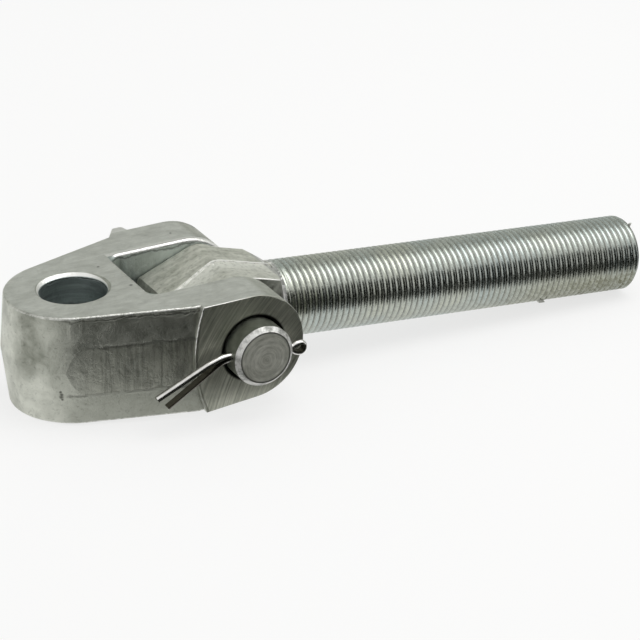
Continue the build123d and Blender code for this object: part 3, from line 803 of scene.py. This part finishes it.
# %% Drawn wire
WIRE_DARK, WIRE_PALE = linear("B4B2AE"), linear("F0EFEC")
FLAT_SIDE, LOW_LEG_SHADE = linear("6E6B64"), linear("66625A")
LEG_SLOPE, LEG_PARTING = -0.63, 11.6
wire_zinc, tree, shader = new_material("bright_drawn_wire", Metallic=1.0)
wire_mm, at, facing = surface(tree, origin=PIN_CENTRE, droop=ROD_DROOP)
smudge = add(tree, "ShaderNodeTexNoise", {"Vector": wire_mm, "Scale": 0.4, "Detail": 3.0, "Roughness": 0.6})
sideways = add(tree, "ShaderNodeMath", {0: facing.outputs["Y"]}, operation="ABSOLUTE")
flat_side = add(tree, "ShaderNodeMapRange", {0: sideways, 1: 0.06, 2: 0.02})
# Painted shade: the lower leg is coloured darker.
under_parting = add(
    tree, "ShaderNodeMath", {0: at.outputs["X"], 1: LEG_SLOPE, 2: at.outputs["Z"]}, operation="MULTIPLY_ADD",
)
low_leg_shade = add(tree, "ShaderNodeMapRange", {0: under_parting, 1: LEG_PARTING, 2: LEG_PARTING - 0.4})
past_hole = add(tree, "ShaderNodeMapRange", {0: at.outputs["X"], 1: -15, 2: -19})
low_leg_shade = add(tree, "ShaderNodeMath", {0: low_leg_shade, 1: past_hole}, operation="MULTIPLY")
colour = add(tree, "ShaderNodeMix", {0: smudge, 6: WIRE_DARK, 7: WIRE_PALE}, data_type="RGBA")
for share, tone in ((flat_side, FLAT_SIDE), (low_leg_shade, LOW_LEG_SHADE)):
    colour = add(tree, "ShaderNodeMix", {0: share, 6: colour.outputs[2], 7: tone}, data_type="RGBA")
rough = add(tree, "ShaderNodeMapRange", {0: smudge, 1: 0.3, 2: 0.7, 3: 0.14, 4: 0.26})
finish(tree, shader, colour, rough)
coat(nodes["split_pin"], wire_zinc)
print("wire finish:", len(tree.nodes), "nodes")

# %% [markdown]
# The rod's eye and neck are forged like the fork, but their coat is thicker and duller. The lathe
# touched only the collar and the cone before it, which show bright rings about the rod's axis,
# drawn 1.3 mm apart because the real ones are too fine to show. The flash line is sheared bright
# and carries a painted highlight, the half of the eye on its near side is painted paler as light,
# and a painted highlight runs along the neck's corners.

# %% Forged eye: skin and flash line
EYE_DARK, EYE_PALE, EYE_MOTTLE = linear("A6A89C"), linear("D8D9CF"), linear("5A5C54")
NEAR_HALF_LIGHT, FLASH_HIGHLIGHT = linear("ECEDE6"), linear("F6F6F2")
eye_zinc, tree, shader = new_material("zinc_plated_forged_eye", Metallic=0.9)
eye_mm, at, facing = surface(tree, origin=PIN_CENTRE, droop=ROD_DROOP)
blotch = add(tree, "ShaderNodeTexNoise", {"Vector": eye_mm, "Scale": 0.12, "Detail": 5.0, "Roughness": 0.62})
grain = add(tree, "ShaderNodeTexNoise", {"Vector": eye_mm, "Scale": 0.5, "Detail": 4.0, "Roughness": 0.6})
streak_place = add(tree, "ShaderNodeMapping", {"Vector": eye_mm, "Scale": (0.06, 0.45, 0.06)})
streak = add(tree, "ShaderNodeTexNoise", {"Vector": streak_place, "Scale": 1.0, "Detail": 4.0, "Roughness": 0.6})
tone = add(tree, "ShaderNodeMath", {0: blotch, 1: streak}, operation="ADD")
tone = add(tree, "ShaderNodeMapRange", {0: tone, 1: 0.7, 2: 1.3})
flash_bend = add(
    tree, "ShaderNodeMapRange", {0: at.outputs["X"], 1: FLASH_WANDER_END / MM, 2: 0, 3: FLASH_WANDER / MM, 4: 0},
)
upper = add(tree, "ShaderNodeMapRange", {0: at.outputs["Z"], 1: -0.1, 2: 0.1})
from_flash = add(
    tree, "ShaderNodeMath", {0: flash_bend, 1: upper, 2: at.outputs["Y"]}, operation="MULTIPLY_ADD",
)
# Painted light: the half of the eye on the near side of the flash line is coloured paler.
near_half_light = add(tree, "ShaderNodeMapRange", {0: from_flash, 1: 0.5, 2: -0.5, 3: 0.0, 4: 0.75})
fading = add(tree, "ShaderNodeMapRange", {0: from_flash, 1: -13, 2: -1, 3: 0.25, 4: 1.0})
near_half_light = add(tree, "ShaderNodeMath", {0: near_half_light, 1: fading}, operation="MULTIPLY")
mottle = add(tree, "ShaderNodeMapRange", {0: grain, 1: 0.3, 2: 0.5, 3: 0.35, 4: 0.0})
flash_gap = add(tree, "ShaderNodeMath", {0: from_flash}, operation="ABSOLUTE")
# The flash line is sheared bright, and it also carries a painted highlight.
flash = add(tree, "ShaderNodeMapRange", {0: flash_gap, 1: 1.1, 2: 0.7})
flash_share = add(tree, "ShaderNodeMapRange", {0: grain, 1: 0.3, 2: 0.5, 3: 0.3, 4: 1.0})
flash = add(tree, "ShaderNodeMath", {0: flash, 1: flash_share}, operation="MULTIPLY")
skin = add(tree, "ShaderNodeMix", {0: tone, 6: EYE_DARK, 7: EYE_PALE}, data_type="RGBA")
print("eye skin:", len(tree.nodes), "nodes")

# %% Forged eye: turned collar, the neck's sides, and painted highlights on its corners
COLLAR_DARK, COLLAR_PALE = linear("9A9C98"), linear("E6E6E2")
NECK_DARK, NECK_PALE, CORNER_HIGHLIGHT = linear("6C6E66"), linear("C8CAC0"), linear("F2F2EE")
across = add(tree, "ShaderNodeCombineXYZ", {1: at.outputs["Y"], 2: at.outputs["Z"]})
radius = add(tree, "ShaderNodeVectorMath", {0: across}, operation="LENGTH")
turned = add(tree, "ShaderNodeMapRange", {0: radius.outputs["Value"], 1: 17.3, 2: 17.7})
past_pin = add(tree, "ShaderNodeMapRange", {0: at.outputs["X"], 1: 26, 2: 28})
turned = add(tree, "ShaderNodeMath", {0: turned, 1: past_pin}, operation="MULTIPLY")
not_turned = add(tree, "ShaderNodeMath", {0: 1.0, 1: turned}, operation="SUBTRACT")
ring_place = add(tree, "ShaderNodeMapping", {"Vector": eye_mm, "Scale": (0.8, 0.03, 0.03)})
rings = add(tree, "ShaderNodeTexNoise", {"Vector": ring_place, "Scale": 1.0, "Detail": 3.0, "Roughness": 0.6})
ring_tone = add(tree, "ShaderNodeMapRange", {0: rings, 1: 0.35, 2: 0.65})
collar = add(tree, "ShaderNodeMix", {0: ring_tone, 6: COLLAR_DARK, 7: COLLAR_PALE}, data_type="RGBA")
sideways = add(tree, "ShaderNodeMath", {0: facing.outputs["Y"]}, operation="ABSOLUTE")
on_neck = add(tree, "ShaderNodeMapRange", {0: at.outputs["X"], 1: 11, 2: 13})
neck_side = add(tree, "ShaderNodeMapRange", {0: sideways, 1: 0.85, 2: 0.95})
for share in (on_neck, not_turned):
    neck_side = add(tree, "ShaderNodeMath", {0: neck_side, 1: share}, operation="MULTIPLY")
neck_tone = add(tree, "ShaderNodeMapRange", {0: blotch, 1: 0.4, 2: 0.6})
neck = add(tree, "ShaderNodeMix", {0: neck_tone, 6: NECK_DARK, 7: NECK_PALE}, data_type="RGBA")
# Painted highlight: a bright line along the neck's corners.
corner = add(tree, "ShaderNodeMapRange", {0: sideways, 1: 0.15, 2: 0.35})
corner_top = add(tree, "ShaderNodeMapRange", {0: sideways, 1: 0.9, 2: 0.8})
from_middle = add(tree, "ShaderNodeMath", {0: at.outputs["Y"]}, operation="ABSOLUTE")
neck_edge = add(tree, "ShaderNodeMapRange", {0: from_middle, 1: 8, 2: 10})
for share in (corner_top, on_neck, neck_edge, not_turned):
    corner = add(tree, "ShaderNodeMath", {0: corner, 1: share}, operation="MULTIPLY")
print("collar and neck:", len(tree.nodes), "nodes")

# %% Forged eye: lay the colours, gloss and relief
SKIN_ROUGH, COLLAR_ROUGH = 0.58, 0.34
colour = skin
for share, tone in (
    (near_half_light, NEAR_HALF_LIGHT), (mottle, EYE_MOTTLE), (turned, collar.outputs[2]),
    (neck_side, neck.outputs[2]), (corner, CORNER_HIGHLIGHT), (flash, FLASH_HIGHLIGHT),
):
    colour = add(tree, "ShaderNodeMix", {0: share, 6: colour.outputs[2], 7: tone}, data_type="RGBA")
rough = add(tree, "ShaderNodeMix", {0: turned, 2: SKIN_ROUGH, 3: COLLAR_ROUGH}, data_type="FLOAT")
height = add(tree, "ShaderNodeMath", {0: blotch, 1: 1.6}, operation="MULTIPLY")
height = add(tree, "ShaderNodeMath", {0: grain, 1: 0.8, 2: height}, operation="MULTIPLY_ADD")
finish(tree, shader, colour, rough, height, 0.3 * MM)
coat(eye, eye_zinc)
print("eye finish:", len(tree.nodes), "nodes")

# %% [markdown]
# Rolling polishes a thread's crests and flanks, and its roots are coloured darker. The
# finish is told by the distance from the rod's axis. A slow tint between bluish and yellowish
# zinc, about 30 mm long, runs along the rod, and specks of 2 mm break it up. The lower side
# toward the far end is stained olive.

# %% Rolled thread: roots, flanks and crests
ROOT, FLANK = linear("888B84"), linear("AEB1AA")
CREST_BLUISH, CREST_YELLOWISH = linear("B8C1BD"), linear("C0C4B8")
thread_zinc, tree, shader = new_material("zinc_plated_rolled_thread", Metallic=1.0)
rod_mm, at, _ = surface(tree, origin=PIN_CENTRE, droop=ROD_DROOP)
across = add(tree, "ShaderNodeCombineXYZ", {1: at.outputs["Y"], 2: at.outputs["Z"]})
radius = add(tree, "ShaderNodeVectorMath", {0: across}, operation="LENGTH")
tint = add(tree, "ShaderNodeTexNoise", {"Vector": rod_mm, "Scale": 0.035, "Detail": 4.0, "Roughness": 0.6})
speck = add(tree, "ShaderNodeTexNoise", {"Vector": rod_mm, "Scale": 0.5, "Detail": 5.0, "Roughness": 0.7})
crest = add(tree, "ShaderNodeMapRange", {0: tint, 1: 0.38, 2: 0.62})
crest = add(tree, "ShaderNodeMix", {0: crest, 6: CREST_BLUISH, 7: CREST_YELLOWISH}, data_type="RGBA")
flank_share = add(
    tree, "ShaderNodeMapRange", {0: radius.outputs["Value"], 1: 16.7, 2: 17.3}, interpolation_type="SMOOTHSTEP",
)
crest_share = add(
    tree, "ShaderNodeMapRange", {0: radius.outputs["Value"], 1: 17.3, 2: 17.85}, interpolation_type="SMOOTHSTEP",
)
colour = add(tree, "ShaderNodeMix", {0: flank_share, 6: ROOT, 7: FLANK}, data_type="RGBA")
print("thread zones:", len(tree.nodes), "nodes")

# %% Rolled thread: stains, gloss and relief
STAIN, CUT_END, PATCH = linear("73725A"), linear("5E605A"), linear("4C4F4A")
toward_end = add(tree, "ShaderNodeMapRange", {0: at.outputs["X"], 1: 125, 2: 195, 3: 0.0, 4: 0.95})
underside = add(tree, "ShaderNodeMapRange", {0: at.outputs["Z"], 1: 3, 2: -7})
stain_share = add(tree, "ShaderNodeMapRange", {0: speck, 1: 0.35, 2: 0.6, 3: 1.0, 4: 0.4})
stain = toward_end
for share in (underside, stain_share):
    stain = add(tree, "ShaderNodeMath", {0: stain, 1: share}, operation="MULTIPLY")
cut_end = add(tree, "ShaderNodeMapRange", {0: at.outputs["X"], 1: 221.5, 2: 222.3, 3: 0.0, 4: 0.5})
patch = add(tree, "ShaderNodeMapRange", {0: speck, 1: 0.3, 2: 0.55, 3: 0.3, 4: 0.0})
for share, tone in ((crest_share, crest.outputs[2]), (stain, STAIN), (cut_end, CUT_END), (patch, PATCH)):
    colour = add(tree, "ShaderNodeMix", {0: share, 6: colour.outputs[2], 7: tone}, data_type="RGBA")
rough = add(tree, "ShaderNodeMapRange", {0: speck, 1: 0.3, 2: 0.7, 3: 0.22, 4: 0.31})
finish(tree, shader, colour, rough, speck, 0.06 * MM)
coat(thread, thread_zinc)
print("thread finish:", len(tree.nodes), "nodes")

# %% [markdown]
# A sliver was torn, not cut, before the zinc went on, so its coat is rough and pale: it scatters
# light from all round instead of mirroring the dark card. Its tears are about 1 mm apart.

# %% Torn slivers
TORN_DARK, TORN_PALE = linear("A2A49C"), linear("E6E7E0")
torn_zinc, tree, shader = new_material("zinc_plated_torn_edge", Metallic=0.6)
torn_mm, _, _ = surface(tree, origin=PIN_CENTRE, droop=ROD_DROOP)
tear = add(tree, "ShaderNodeTexNoise", {"Vector": torn_mm, "Scale": 1.2, "Detail": 3.0, "Roughness": 0.6})
colour = add(tree, "ShaderNodeMix", {0: tear, 6: TORN_DARK, 7: TORN_PALE}, data_type="RGBA")
rough = add(tree, "ShaderNodeMapRange", {0: tear, 1: 0.3, 2: 0.7, 3: 0.45, 4: 0.65})
finish(tree, shader, colour, rough)
coat(slivers, torn_zinc)
print("sliver finish:", len(tree.nodes), "nodes")
